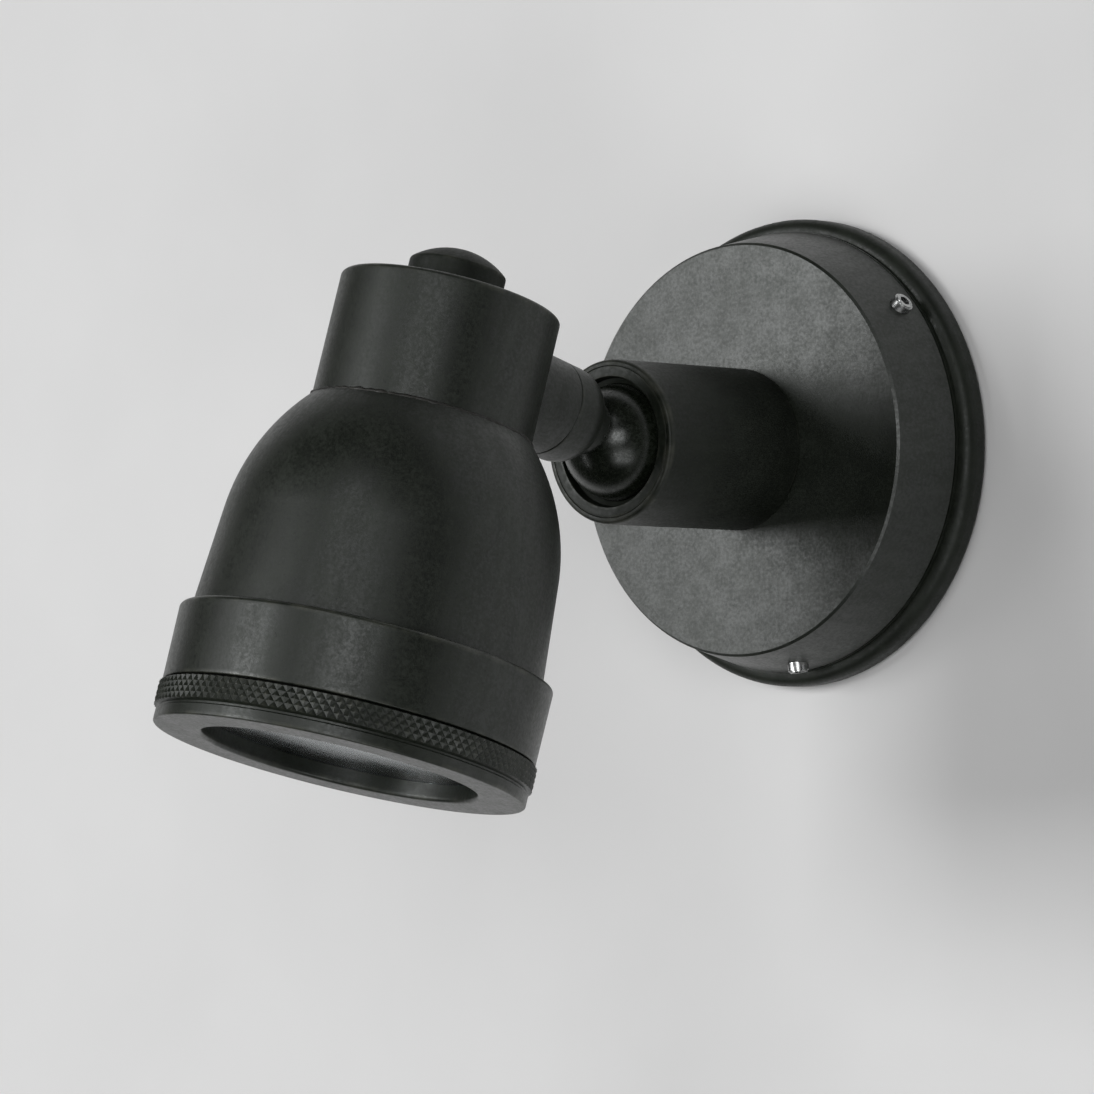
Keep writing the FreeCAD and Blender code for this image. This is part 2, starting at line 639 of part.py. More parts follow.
def terminal_block():
    far_side = "-(block_from_centre + block_depth)"
    near_row = "-(block_from_centre + block_screw_inset)"
    body = slab("block_body", "block_width", "block_depth", "block_height",
                "-block_width / 2", far_side, "web_thickness")
    fixing = {"x": "block_pitch / 2", "y": "-(block_from_centre + block_depth / 2)"}
    holes = [rod("block_fixing_hole", "small_screw_radius + running", "block_height",
                 z="web_thickness", **fixing)]
    screws = []
    for pole, across in (("earth", "-block_pitch"), ("neutral", "0"), ("live", "block_pitch")):
        holes.append(rod(f"{pole}_wire_hole", "block_hole_radius", "block_depth",
                         x=across, y=far_side, z=WIRE_HEIGHT, along=ALONG_Y))
        for row_name, row_place in (("near", near_row), ("far", f"{far_side} + block_screw_inset")):
            place = {"x": across, "y": row_place}
            holes.append(rod(f"{pole}_{row_name}_hole", "block_screw_radius + running",
                             "block_height - block_hole_height", z=WIRE_HEIGHT, **place))
            screws.append(rod(f"{pole}_{row_name}_screw", "block_screw_radius", "block_screw_length",
                              z=f"{WIRE_HEIGHT} + lead_radius + running", **place))
    piece("terminal_block", cut("block", body, *holes), wall_frame)
    piece("terminal_screws", group("block_screws", *screws), wall_frame)
    length = f"{BLOCK_TOP} - gasket_depth"
    shank = rod("block_shank", "small_screw_radius", length, z="gasket_depth", **fixing)
    head = rod("block_head", "small_head_radius", "small_head_height", z=BLOCK_TOP, **fixing)
    piece("block_screw", fuse("block_screw_whole", shank, head), wall_frame)


def wall_leads():
    height = value(WIRE_HEIGHT)
    end = value("ball_from_wall - ball_radius - supply_lead_gap")
    clamp = -value("block_from_centre + block_screw_inset + block_screw_radius")
    clear = -value("lead_turn")
    pitch = value("block_pitch")
    spread = value("lead_spread")
    routes = [
        [(pole, clamp, height), (pole, clear, height), (away, 0, height), (away, 0, end)]
        for pole, away in ((0, -spread), (pitch, spread))
    ]
    piece("supply_leads", lead("supply", value("lead_radius"), routes), wall_frame)
    tag_height = value(TAG_LEAD_HEIGHT)
    earth_route = [
        (-value("tag_barrel_start + running"), value("earth_from_centre"), tag_height),
        (-13.5, value("earth_from_centre"), tag_height),
        (-20.0, 13.0, height),
        (-17.5, -3.0, height),
        (-pitch, clear, height),
        (-pitch, clamp, height),
    ]
    piece("earth_lead", lead("earth", value("lead_radius"), [earth_route]), wall_frame)


# ---- ball, collar and hollow nipple; heights are from the ball's centre along the stem ----

def swivel_ball():
    rear = "sqrt(ball_radius ^ 2 - ball_bore_flare ^ 2)"
    piece("swivel_ball", turned("ball", [
        ("ball_bore_flare", f"-{rear}"),
        ("neck_radius", "sqrt(ball_radius ^ 2 - neck_radius ^ 2)", "ball_radius", 1),
        ("neck_radius", "neck_end"),
        ("collar_radius", "collar_start", "collar_curve_radius", 1),
        ("collar_radius", "collar_end"),
        ("nipple_radius + running", "collar_end"),
        ("nipple_radius + running", "nipple_start"),
        ("ball_bore_radius", "nipple_start"),
        ("ball_bore_radius", f"ball_bore_flare - ball_bore_radius - {rear}"),
    ]), stem_frame)


def stem_fixings():
    length = f"{NIPPLE_END} - nipple_start"
    nipple = washer("nipple", "nipple_bore_radius", "nipple_radius", "nipple_start", length)
    piece("stem_nipple", nipple, stem_frame)
    hole = "nipple_radius + running"
    disc = washer("spring_washer", hole, "stem_washer_radius", WASHER_START, "stem_washer_thickness")
    piece("stem_washer", disc, stem_frame)
    blank = prism("stem_nut_blank", "stem_nut_corner", "stem_nut_thickness", z=NUT_START)
    thread = rod("stem_nut_thread", hole, "stem_nut_thickness", z=NUT_START)
    piece("stem_nut", cut("stem_nut_cut", blank, thread), stem_frame)


def stem_leads():
    start = value("seat_gap - ball_radius")
    end = value(NIPPLE_END)
    spread = value("lead_spread")
    routes = [[(0, side, start), (0, side, end)] for side in (-spread, spread)]
    piece("stem_leads", lead("stem_pair", value("lead_radius"), routes), stem_frame)


# ---- head: cap, stub and plug; heights are along the head from the stem's axis ----

def cap():
    stud_hole = "plug_stud_radius + running"
    under_top = "cap_top_thickness - cap_top"
    shell = turned("cap_shell", [
        (stud_hole, "-cap_top"),
        ("cap_radius - cap_round", "-cap_top"),
        ("cap_radius", "cap_round - cap_top", "cap_round", 1),
        ("cap_radius", "cap_bottom"),
        ("cap_radius - cap_wall", "cap_bottom"),
        ("cap_radius - cap_wall", under_top),
        (stud_hole, under_top),
    ])
    side_hole = rod("cap_side_hole", "stub_spigot_radius + running", "2 * cap_radius", along=ALONG_X)
    piece("cap", cut("cap_drilled", shell, side_hole), head_frame)


def head_stub():
    def turned_part(name, radius):
        return rod(name, radius, f"{STUB_FACE} - stub_seat", x="stub_seat", along=ALONG_X)
    saddle = rod("stub_saddle", "cap_radius", "4 * collar_radius", z="-2 * collar_radius")
    outside = cut("stub_saddled", turned_part("stub_outside", "collar_radius"), saddle)
    blank = fuse("stub_blank", outside, turned_part("stub_spigot", "stub_spigot_radius"))
    piece("head_stub", cut("stub", blank, turned_part("stub_bore", "nipple_radius + moving")), head_frame)


def top_plug():
    dome_base = "-(cap_top + plug_skirt)"
    groove_inner = "plug_groove_radius - plug_groove_width / 2"
    groove_outer = "plug_groove_radius + plug_groove_width / 2"
    piece("top_plug", turned("plug", [
        ("0", f"{dome_base} - plug_dome"),
        ("plug_radius", dome_base, "(plug_radius ^ 2 + plug_dome ^ 2) / (2 * plug_dome)", 1),
        ("plug_radius", "-cap_top"),
        (groove_outer, "-cap_top"),
        (groove_outer, "-cap_top - plug_groove_depth"),
        (groove_inner, "-cap_top - plug_groove_depth"),
        (groove_inner, "-cap_top"),
        ("plug_stud_radius", "-cap_top"),
        ("plug_stud_radius", "plug_stud_length - cap_top"),
        ("0", "plug_stud_length - cap_top"),
    ]), head_frame)
    seal = torus("plug_seal", "plug_groove_radius", "plug_oring_radius")
    piece("plug_oring", seal, head_frame, height="-cap_top - plug_groove_depth / 2")


# ---- bell and rim band ----

def bell():
    outer_top = f"{BELL_ARC_X} + sqrt(bell_arc_radius ^ 2 - ({BELL_ARC_Y} - cap_bottom) ^ 2)"
    inner_top = f"{BELL_ARC_X} + sqrt({BELL_INNER_ARC} ^ 2 - ({BELL_ARC_Y} - {PLATE_TOP}) ^ 2)"
    shell = turned("bell_shell", [
        ("bell_ledge_radius", "cap_bottom"),
        (outer_top, "cap_bottom"),
        (BELL_ARC_END_RADIUS, "bell_arc_end", "bell_arc_radius", 1),
        ("bell_mouth_radius", "band_top"),
        ("bell_mouth_radius", "bell_end"),
        ("bell_mouth_radius - bell_wall", "bell_end"),
        ("bell_mouth_radius - bell_wall", "band_top"),
        (f"{BELL_ARC_X} + {BELL_INNER_ARC} * cos(bell_cone_angle)",
         f"{BELL_ARC_Y} - {BELL_INNER_ARC} * sin(bell_cone_angle)"),
        (inner_top, PLATE_TOP, BELL_INNER_ARC, -1),
        ("bell_ledge_radius", PLATE_TOP),
    ])
    holes = [
        rod(f"ledge_hole_{side}", "small_screw_radius + running", "bell_ledge_thickness",
            x=place, z="cap_bottom")
        for side, place in (("back", "plate_screw_place"), ("front", "-plate_screw_place"))
    ]
    piece("bell", cut("bell_drilled", shell, *holes), head_frame)


def rim_band():
    skirt_inner = "skirt_radius - skirt_wall"
    piece("rim_band", turned("band", [
        ("bell_mouth_radius", "band_top"),
        ("band_radius - band_round", "band_top"),
        ("band_radius", "band_top + band_round", "band_round", 1),
        ("band_foot_radius", "band_end"),
        ("oring_groove_radius", "band_end"),
        ("oring_groove_radius", "band_end - oring_groove_depth"),
        ("band_thread_radius", "band_end - oring_groove_depth"),
        ("band_thread_radius", BRIDGE_END),
        ("skirt_radius", BRIDGE_END),
        ("skirt_radius", "skirt_end"),
        (skirt_inner, "skirt_end"),
        (skirt_inner, "bell_end"),
        ("bell_mouth_radius", "bell_end"),
    ]), head_frame)
    middle = "(oring_groove_radius + band_thread_radius) / 2"
    seal = torus("bezel_seal", middle, "bezel_oring_radius")
    floor = "band_end - oring_groove_depth"
    piece("bezel_oring", seal, head_frame, height=f"{floor} + running + bezel_oring_radius")


# ---- bezel, glass and gasket ----

def bezel():
    groove = "bezel_foot_radius - bezel_edge"
    piece("bezel", turned("bezel_ring", [
        (BEZEL_INSIDE, "bezel_thread_start"),
        (BEZEL_THREAD_RADIUS, "bezel_thread_start"),
        (BEZEL_THREAD_RADIUS, BEZEL_SHOULDER),
        ("knurl_radius - knurl_round", BEZEL_SHOULDER),
        ("knurl_radius", f"{BEZEL_SHOULDER} + knurl_round", "knurl_round", 1),
        ("knurl_radius", "knurl_end - knurl_lip"),
        ("knurl_lip_radius", "knurl_end - knurl_lip"),
        ("knurl_lip_radius", "knurl_end"),
        (groove, "knurl_end"),
        (groove, "knurl_end + knurl_lip"),
        ("bezel_foot_radius", "knurl_end + knurl_lip"),
        ("bezel_foot_radius", "bezel_face - bezel_edge"),
        ("bezel_foot_radius - bezel_edge", "bezel_face"),
        ("bezel_hole_radius + bezel_hole_chamfer", "bezel_face"),
        ("bezel_hole_radius", "bezel_face - bezel_hole_chamfer"),
        ("bezel_hole_radius", GLASS_SEAT),
        (BEZEL_INSIDE, GLASS_SEAT),
    ]), head_frame)


def lens():
    piece("lens_glass", turned("glass", [
        ("0", GLASS_BACK),
        ("glass_radius - glass_edge", GLASS_BACK),
        ("glass_radius", f"{GLASS_BACK} + glass_edge"),
        ("glass_radius", f"{GLASS_FRONT} - glass_edge"),
        ("glass_radius - glass_edge", GLASS_FRONT),
        ("0", GLASS_FRONT),
    ]), head_frame)
    start = "(skirt_end + running)"
    inner = "skirt_radius - lens_gasket_width"
    gasket = washer("lens_seal", inner, "skirt_radius", start, f"{GLASS_BACK} - {start}")
    piece("lens_gasket", gasket, head_frame)


# ---- lampholder, its plate and the lamp ----

def holder_plate():
    hole = "small_screw_radius + running"
    blank = rod("plate_blank_disc", "plate_radius", "plate_thickness", z=PLATE_TOP)
    holes = []
    for way, sign in (("plus", ""), ("minus", "-")):
        for name, radius, x, y in (
            ("bell_screw", hole, f"{sign}plate_screw_place", "0"),
            ("holder_screw", hole, "0", f"{sign}holder_screw_place"),
            ("wire", "plate_wire_hole", "0", f"{sign}pin_place"),
        ):
            holes.append(rod(f"{name}_hole_{way}", radius, "plate_thickness", x=x, y=y, z=PLATE_TOP))
    piece("holder_plate", cut("holder_plate_drilled", blank, *holes), head_frame)


def screw_pair(name, axis, distance, head_start, shank_start, shank_length):
    """Two pan-head screws, either side of the head's axis along local x or y."""
    screws = []
    for way, sign in (("plus", ""), ("minus", "-")):
        place = {axis: sign + distance}
        shank = rod(f"{name}_shank_{way}", "small_screw_radius", shank_length, z=shank_start, **place)
        head = rod(f"{name}_head_{way}", "small_head_radius", "small_head_height", z=head_start, **place)
        screws.append(fuse(f"{name}_{way}", shank, head))
    piece(name, group(name + "_pair", *screws), head_frame)


def holder_fixings():
    screw_pair("plate_screws", "x", "plate_screw_place",
               HOLDER_TOP, "cap_bottom", f"{HOLDER_TOP} - cap_bottom")
    screw_pair("holder_screws", "y", "holder_screw_place",
               f"{PLATE_TOP} - small_head_height", PLATE_TOP, "holder_screw_grip")


def lampholder():
    blank = rod("holder_blank", "holder_radius", "holder_height", z=HOLDER_TOP)
    holes = []
    for way, sign in (("plus", ""), ("minus", "-")):
        holes.append(rod(f"pin_socket_{way}", "pin_socket_radius", "pin_socket_depth",
                         x=f"{sign}pin_place", z=f"{HOLDER_END} - pin_socket_depth"))
        holes.append(rod(f"holder_thread_{way}", "small_screw_radius + running", "holder_screw_grip",
                         y=f"{sign}holder_screw_place", z=HOLDER_TOP))
        holes.append(rod(f"holder_wire_{way}", "plate_wire_hole", "pin_length / 2",
                         y=f"{sign}pin_place", z=HOLDER_TOP))
    piece("lampholder", cut("holder", blank, *holes), head_frame)


def head_leads():
    start = value(f"stem_length - {NIPPLE_END} - head_lead_gap")
    end = value(f"{HOLDER_TOP} + pin_length / 2")
    spread = value("lead_spread")
    drop = value("pin_place")
    routes = [
        [(start, way * spread, 0), (0, way * drop, 0), (0, way * drop, end)]
        for way in (-1, 1)
    ]
    piece("head_leads", lead("head_pair", value("lead_radius"), routes), head_frame)


def lamp():
    piece("lamp_base", turned("base", [
        ("0", LAMP_BACK),
        ("lamp_base_radius", LAMP_BACK),
        ("lamp_base_radius", "lamp_neck - lamp_rim"),
        ("lamp_neck_radius", "lamp_neck"),
        ("0", "lamp_neck"),
    ]), head_frame)
    pins = []
    for way, sign in (("plus", ""), ("minus", "-")):
        x = f"{sign}pin_place"
        stem_start = f"{LAMP_BACK} - pin_length"
        pin_stem = rod(f"pin_stem_{way}", "pin_radius", "pin_length", x=x, z=stem_start)
        head = rod(f"pin_head_{way}", "pin_head_radius", "pin_head_length",
                   x=x, z=f"{stem_start} - pin_head_length")
        pins.append(fuse(f"pin_{way}", pin_stem, head))
    piece("lamp_pins", group("pins", *pins), head_frame)
    rim = "lamp_front - lamp_rim"
    inner = "lamp_radius - lamp_wall"
    piece("lamp_reflector", turned("reflector", [
        ("lamp_neck_radius - lamp_wall", "lamp_neck", "lamp_flank_radius", -1),
        ("lamp_neck_radius", "lamp_neck"),
        ("lamp_radius", rim, "lamp_flank_radius", 1),
        ("lamp_radius", "lamp_front"),
        (inner, "lamp_front"),
        (inner, rim),
    ]), head_frame)
    front = bind(doc.addObject("Part::Cylinder", "front_disc"),
                 Radius=f"{inner} - running", Height="lamp_front_thickness")
    piece("lamp_front", front, head_frame, height="lamp_front - lamp_front_thickness")


for make in (
    wall_plate, wall_gasket, earth_terminal, canopy, grub_screws, socket_housing, housing_fixings,
    ball_retaining_ring, friction_cup, disc_spring, terminal_block, wall_leads, swivel_ball,
    stem_fixings, stem_leads, cap, head_stub, top_plug, bell, rim_band, bezel, lens, holder_plate,
    holder_fixings, lampholder, head_leads, lamp,
):
    make()
doc.recompute()

faults = [
    f"{thing.Name} is {state}"
    for thing in doc.Objects for state in thing.State if state in ("Invalid", "Error")
]
faults += [
    f"{label} has a null or invalid shape"
    for label, thing in pieces.items() if thing.Shape.isNull() or not thing.Shape.isValid()
]
if faults:
    raise SystemExit("\n".join(faults))

os.makedirs("parts", exist_ok=True)
for label, thing in pieces.items():
    thing.Shape.exportStep(f"parts/{label}.step")
    print(label, len(thing.Shape.Solids), "solids", round(thing.Shape.Volume), "mm3")
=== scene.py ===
import json
import math

import bpy
from mathutils import Matrix, Vector


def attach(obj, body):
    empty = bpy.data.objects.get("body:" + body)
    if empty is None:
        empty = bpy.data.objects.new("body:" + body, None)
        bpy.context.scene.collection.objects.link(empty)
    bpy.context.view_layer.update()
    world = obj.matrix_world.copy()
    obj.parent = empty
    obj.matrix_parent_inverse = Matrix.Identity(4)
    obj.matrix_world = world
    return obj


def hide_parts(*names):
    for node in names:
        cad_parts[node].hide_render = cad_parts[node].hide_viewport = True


# Pivoting spotlight wall light: blackened brass, turned and brazed, on a pale wall. The wall is the
# plane y = 0. Sizes are in millimetres and become metres where a mesh gets its place.

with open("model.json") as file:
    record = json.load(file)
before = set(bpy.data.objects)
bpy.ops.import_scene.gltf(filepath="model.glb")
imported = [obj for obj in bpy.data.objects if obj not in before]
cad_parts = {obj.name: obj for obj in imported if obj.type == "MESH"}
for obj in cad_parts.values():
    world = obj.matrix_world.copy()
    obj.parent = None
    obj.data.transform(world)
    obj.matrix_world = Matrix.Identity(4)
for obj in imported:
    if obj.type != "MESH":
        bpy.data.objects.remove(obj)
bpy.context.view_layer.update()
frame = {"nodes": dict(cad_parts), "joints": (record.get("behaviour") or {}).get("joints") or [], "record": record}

MM = 0.001
NODES = frame["nodes"]
JOINTS = {joint["name"]: joint for joint in frame["joints"]}
BALL_CENTRE = Vector(JOINTS["head_turn"]["pos_m"])
STEM_WAY = Vector(JOINTS["head_turn"]["axis"]).normalized()
HEAD_CENTRE = Vector(JOINTS["bezel_turn"]["pos_m"])
HEAD_WAY = Vector(JOINTS["bezel_turn"]["axis"]).normalized()


def lathe_axes(centre, along, across):
    """A frame whose local +Z is a piece's turning axis and whose local +X is another direction."""
    side = along.cross(across).normalized()
    turn = Matrix((side.cross(along), side, along)).transposed().to_4x4()
    return Matrix.Translation(centre) @ turn


WALL_AXES = lathe_axes(Vector(), Vector((0, -1, 0)), Vector((1, 0, 0)))
STEM_AXES = lathe_axes(BALL_CENTRE, STEM_WAY, HEAD_WAY)
HEAD_AXES = lathe_axes(HEAD_CENTRE, HEAD_WAY, -STEM_WAY)


# ---- materials ----

def linear(hex_colour):
    """A colour's linear values from its sRGB hex value."""
    parts = [int(hex_colour[i:i + 2], 16) / 255 for i in (1, 3, 5)]
    return [c / 12.92 if c <= 0.04045 else ((c + 0.055) / 1.055) ** 2.4 for c in parts] + [1]


def new_material(name):
    """An empty material and its node tree, with the shader already joined to the output."""
    material = bpy.data.materials.new(name)
    material.use_nodes = True
    tree = material.node_tree
    return material, tree, tree.nodes["Principled BSDF"]


def add(tree, kind, inputs=None, **settings):
    """Adds a node. An input is a value, or another node's output to link."""
    made = tree.nodes.new(kind)
    for key, setting in settings.items():
        setattr(made, key, setting)
    for key, given in (inputs or {}).items():
        if isinstance(given, bpy.types.NodeSocket):
            tree.links.new(given, made.inputs[key])
        else:
            made.inputs[key].default_value = given
    return made


def local_millimetres(tree, axes):
    """Object coordinates in millimetres, turned to a lathe's axes."""
    coordinates = add(tree, "ShaderNodeTexCoord").outputs["Object"]
    back = axes.inverted()
    return add(tree, "ShaderNodeMapping", {
        "Vector": coordinates,
        "Location": back.translation / MM,
        "Rotation": back.to_euler(),
        "Scale": (1 / MM, 1 / MM, 1 / MM),
    }).outputs["Vector"]


def noise(tree, where, size, detail=3.0, roughness=0.55, distortion=0.0):
    """Cloudy noise whose blotches are about size millimetres across."""
    return add(tree, "ShaderNodeTexNoise", {
        "Vector": where,
        "Scale": 1 / size,
        "Detail": detail,
        "Roughness": roughness,
        "Distortion": distortion,
    }).outputs["Fac"]


def stretched(tree, where, scale):
    """The same place with each axis scaled, for a pattern that is drawn out one way."""
    return add(tree, "ShaderNodeVectorMath", {0: where, 1: scale}, operation="MULTIPLY").outputs[0]


def ramp(tree, factor, *stops):
    """A colour ramp from (place, hex colour) stops."""
    made = add(tree, "ShaderNodeValToRGB", {"Fac": factor})
    elements = made.color_ramp.elements
    while len(elements) < len(stops):
        elements.new(1.0)
    for element, (place, colour) in zip(elements, stops):
        element.position = place
        element.color = linear(colour)
    return made.outputs["Color"]


def spread(tree, factor, low, high, from_low=0.3, from_high=0.7):
    """A factor remapped to run from low to high."""
    return add(tree, "ShaderNodeMapRange", {
        "Value": factor,
        "From Min": from_low,
        "From Max": from_high,
        "To Min": low,
        "To Max": high,
    }).outputs["Result"]


def mixed(tree, factor, first, second):
    """Two colours mixed by a factor."""
    return add(tree, "ShaderNodeMix", {0: factor, 6: first, 7: second}, data_type="RGBA").outputs[2]


def maths(tree, kind, first, second):
    """Two values multiplied, added or subtracted."""
    return add(tree, "ShaderNodeMath", {0: first, 1: second}, operation=kind).outputs[0]


def weighted(tree, *shares):
    """The sum of several values, each times its weight."""
    total = None
    for value, weight in shares:
        share = maths(tree, "MULTIPLY", value, weight)
        total = share if total is None else maths(tree, "ADD", total, share)
    return total


def bump(tree, shader, height, depth):
    """Raises the surface by a pattern that is depth millimetres deep."""
    made = add(tree, "ShaderNodeBump", {"Height": height, "Distance": depth * MM, "Strength": 1.0})
    tree.links.new(made.outputs["Normal"], shader.inputs["Normal"])


def blackened_brass(name, axes, gloss, shine):
    """Brass blackened in a chemical bath, then waxed. The bath leaves a thin greenish-black skin that
    is cloudy over several millimetres and speckled under one, with darker pits. The wax gives it a
    satin gloss that varies with the clouds and streaks faintly along the piece. Broken edges are
    painted a paler grey, partly for wear and partly as a painted highlight along them, and what is
    marked as polished is smoother. Gloss is the range of the roughness, and shine is how well the wax
    was buffed on that piece."""
    material, tree, shader = new_material(name)
    place = local_millimetres(tree, axes)
    drawn_out = stretched(tree, place, (1, 1, 0.25))
    clouds = noise(tree, place, 7, detail=5, roughness=0.62, distortion=0.3)
    streaks = noise(tree, drawn_out, 3, roughness=0.6)
    specks = noise(tree, place, 0.7, roughness=0.75)
    pits = spread(tree, noise(tree, place, 0.55, detail=1), 0, 0.6, 0.64, 0.72)
    rubbing = spread(tree, noise(tree, place, 4, detail=4), 0, 0.6, 0.42, 0.65)
    edge_wear_and_highlight = add(tree, "ShaderNodeAttribute", attribute_name="edge_wear_and_highlight").outputs["Fac"]
    polished = add(tree, "ShaderNodeAttribute", attribute_name="polished").outputs["Fac"]

    skin = weighted(tree, (clouds, 0.4), (specks, 0.6))
    colour = ramp(tree, skin, (0.4, "#0c100a"), (0.5, "#141811"), (0.6, "#20241e"))
    colour = mixed(tree, pits, colour, linear("#050604"))
    # Broken edges, under a rubbed pattern, are painted a paler grey: partly wear, partly a painted highlight.
    colour = mixed(tree, maths(tree, "MULTIPLY", edge_wear_and_highlight, rubbing), colour, linear("#3a3b33"))
    tree.links.new(colour, shader.inputs["Base Color"])

    sheen = weighted(tree, (clouds, 0.2), (streaks, 0.2), (specks, 0.6))
    satin = spread(tree, sheen, gloss[0], gloss[1], 0.4, 0.6)
    smoother = maths(tree, "MULTIPLY", polished, 0.16)
    tree.links.new(maths(tree, "SUBTRACT", satin, smoother), shader.inputs["Roughness"])
    buffed = spread(tree, sheen, 0.62 * shine, 0.38 * shine, 0.41, 0.59)
    tree.links.new(buffed, shader.inputs["Specular IOR Level"])
    shader.inputs["Specular Tint"].default_value = (0.97, 1, 0.99, 1)
    bump(tree, shader, weighted(tree, (clouds, 2), (specks, 1)), 0.01)
    return material


def plain_finish(name, light, dark, size, gloss, metallic=0.0, depth=0.004, **sockets):
    """A finish of one colour with clouds of a darker one, a gloss that follows them and a fine grain.
    Size is how wide a cloud is in millimetres, and gloss is the range of the roughness."""
    material, tree, shader = new_material(name)
    place = local_millimetres(tree, Matrix())
    clouds = noise(tree, place, size)
    tree.links.new(ramp(tree, clouds, (0.35, dark), (0.65, light)), shader.inputs["Base Color"])
    tree.links.new(spread(tree, clouds, gloss[0], gloss[1]), shader.inputs["Roughness"])
    shader.inputs["Metallic"].default_value = metallic
    for socket, setting in sockets.items():
        shader.inputs[socket.replace("_", " ")].default_value = setting
    bump(tree, shader, noise(tree, place, size / 6, detail=2), depth)
    return material


WALL_SKIN = blackened_brass("blackened_brass_wall", WALL_AXES, gloss=(0.4, 0.54), shine=0.65)
CANOPY_SKIN = blackened_brass("blackened_brass_canopy", WALL_AXES, gloss=(0.33, 0.45), shine=1.3)
STEM_SKIN = blackened_brass("blackened_brass_ball", STEM_AXES, gloss=(0.36, 0.48), shine=1.0)
HEAD_SKIN = blackened_brass("blackened_brass_head", HEAD_AXES, gloss=(0.36, 0.5), shine=1.0)
RING_SKIN = blackened_brass("blackened_brass_rings", HEAD_AXES, gloss=(0.33, 0.45), shine=1.0)
DULL_SKIN = blackened_brass("blackened_brass_plug", HEAD_AXES, gloss=(0.5, 0.62), shine=0.5)
# Flux and braze left dark by the bath: rough, brown-black.
BRAZE = plain_finish("darkened_braze", "#1b1a14", "#090906", 1.2, (0.45, 0.7), depth=0.03)

# Cold-headed stainless screws and stampings: bright grey, with faint tumbling marks.
STAINLESS = plain_finish("stainless_steel", "#c6c7c6", "#a4a6a6", 1.2, (0.22, 0.38), metallic=1.0)
# Bar-turned brass: yellow, slightly dulled.
BRASS = plain_finish("turned_brass", "#c9a45a", "#a8843f", 1.5, (0.25, 0.42), metallic=1.0)
# Moulded silicone: black and matt, with a dusty bloom.
SILICONE = plain_finish("black_silicone", "#1b1b1b", "#101010", 3, (0.6, 0.75))
# Moulded acetal: milky white, slightly waxy.
ACETAL = plain_finish("moulded_acetal", "#d9d6cc", "#c9c6bb", 6, (0.35, 0.45))
# Moulded nylon: off-white, with a fine spark-eroded grain.
NYLON = plain_finish("moulded_nylon", "#dddcd6", "#cfcec8", 4, (0.45, 0.6))
# Pressed and fired steatite: cream white, fine chalky grain.
STEATITE = plain_finish("fired_steatite", "#e6e2d8", "#d6d1c4", 3, (0.5, 0.7))
# Silicone sleeve on the leads: red-brown and smooth.
LEAD_SLEEVE = plain_finish("lead_sleeve", "#6b3a24", "#57301e", 3, (0.4, 0.55))
# Sleeve of the earth lead: green with yellow.
EARTH_SLEEVE = plain_finish("earth_sleeve", "#6f8f2c", "#3f7a2e", 4, (0.4, 0.55))
# Toughened clear glass: faintly blue, with a film of dust that shows in its gloss.
LENS_GLASS = plain_finish("toughened_glass", "#c4d2d6", "#a9bac0", 9, (0.12, 0.24),
                          Transmission_Weight=1.0, IOR=1.5)
LAMP_GLASS = plain_finish("lamp_glass", "#fafafa", "#eeeeee", 6, (0.02, 0.06),
                          Transmission_Weight=1.0, IOR=1.5)
# Pressed glass with a vacuum-deposited aluminium mirror: silver, slightly rippled by its facets.
LAMP_MIRROR = plain_finish("aluminised_mirror", "#dcdee0", "#c8cbce", 3, (0.08, 0.2), metallic=1.0)

FINISHES = {
    "dark_metal": HEAD_SKIN,
    "canopy_metal": CANOPY_SKIN,
    "bezel_metal": RING_SKIN,
    "stainless": STAINLESS,
    "brass": BRASS,
    "seal_rubber": SILICONE,
    "cup_plastic": ACETAL,
    "block_plastic": NYLON,
    "ceramic": STEATITE,
    "lens_glass": LENS_GLASS,
    "lamp_glass": LAMP_GLASS,
    "lamp_mirror": LAMP_MIRROR,
    "lead_sleeve": LEAD_SLEEVE,
    "earth_sleeve": EARTH_SLEEVE,
}
for subpart in frame["record"]["subparts"]:
    node = NODES[subpart["node"]]
    node.data.materials.clear()
    node.data.materials.append(FINISHES[subpart["material_slot"]])
for node_name in ("wall_plate", "socket_housing", "ball_retaining_ring"):
    NODES[node_name].data.materials[0] = WALL_SKIN
NODES["swivel_ball"].data.materials[0] = STEM_SKIN


# ---- turning, drilling and placing ----

MARGIN = 0.5           # from a rounded corner to the point that keeps the flat beside it flat
SAME_PLACE = 0.002     # points nearer than this are one
LARGE_ROUND = 0.6      # from this radius on, a round gets seven facets instead of three
WEAR_AND_HIGHLIGHT_REACH = 1.3       # how many of its rounds away from an edge the paler grey reaches: wear, and a painted highlight


def round_points(centre, radius, first, last, count):
    """Outline points on a circle, from one angle to another."""
    return [
        (centre[0] + radius * math.cos(turn), centre[1] + radius * math.sin(turn))
        for turn in (first + (last - first) * share / count for share in range(count + 1))
    ]


def arc_between(start, end, radius, count):
    """Outline points on an arc of a given radius, from one point to another."""
    start, end = Vector(start), Vector(end)
    half = (end - start) / 2
    to_middle = Vector((half.y, -half.x)).normalized() * math.sqrt(radius ** 2 - half.length ** 2)
    middle = start + half - to_middle
    first, last = (math.atan2(arm.y, arm.x) for arm in (start - middle, end - middle))
    return round_points(middle, radius, first, last, count)


def chord(first, second):
    """The length between two outline points, and the unit step from the first to the second."""
    across, along = second[0] - first[0], second[1] - first[1]
    length = math.hypot(across, along)
    return length, (across / length, along / length)


def setback(before, corner, after):
    """How far from a rounded corner its round starts, on either side."""
    to_before, to_after = chord(corner, before)[1], chord(corner, after)[1]
    bend = math.acos(max(-1, min(1, to_before[0] * to_after[0] + to_before[1] * to_after[1])))
    return corner[2] / math.tan(bend / 2)


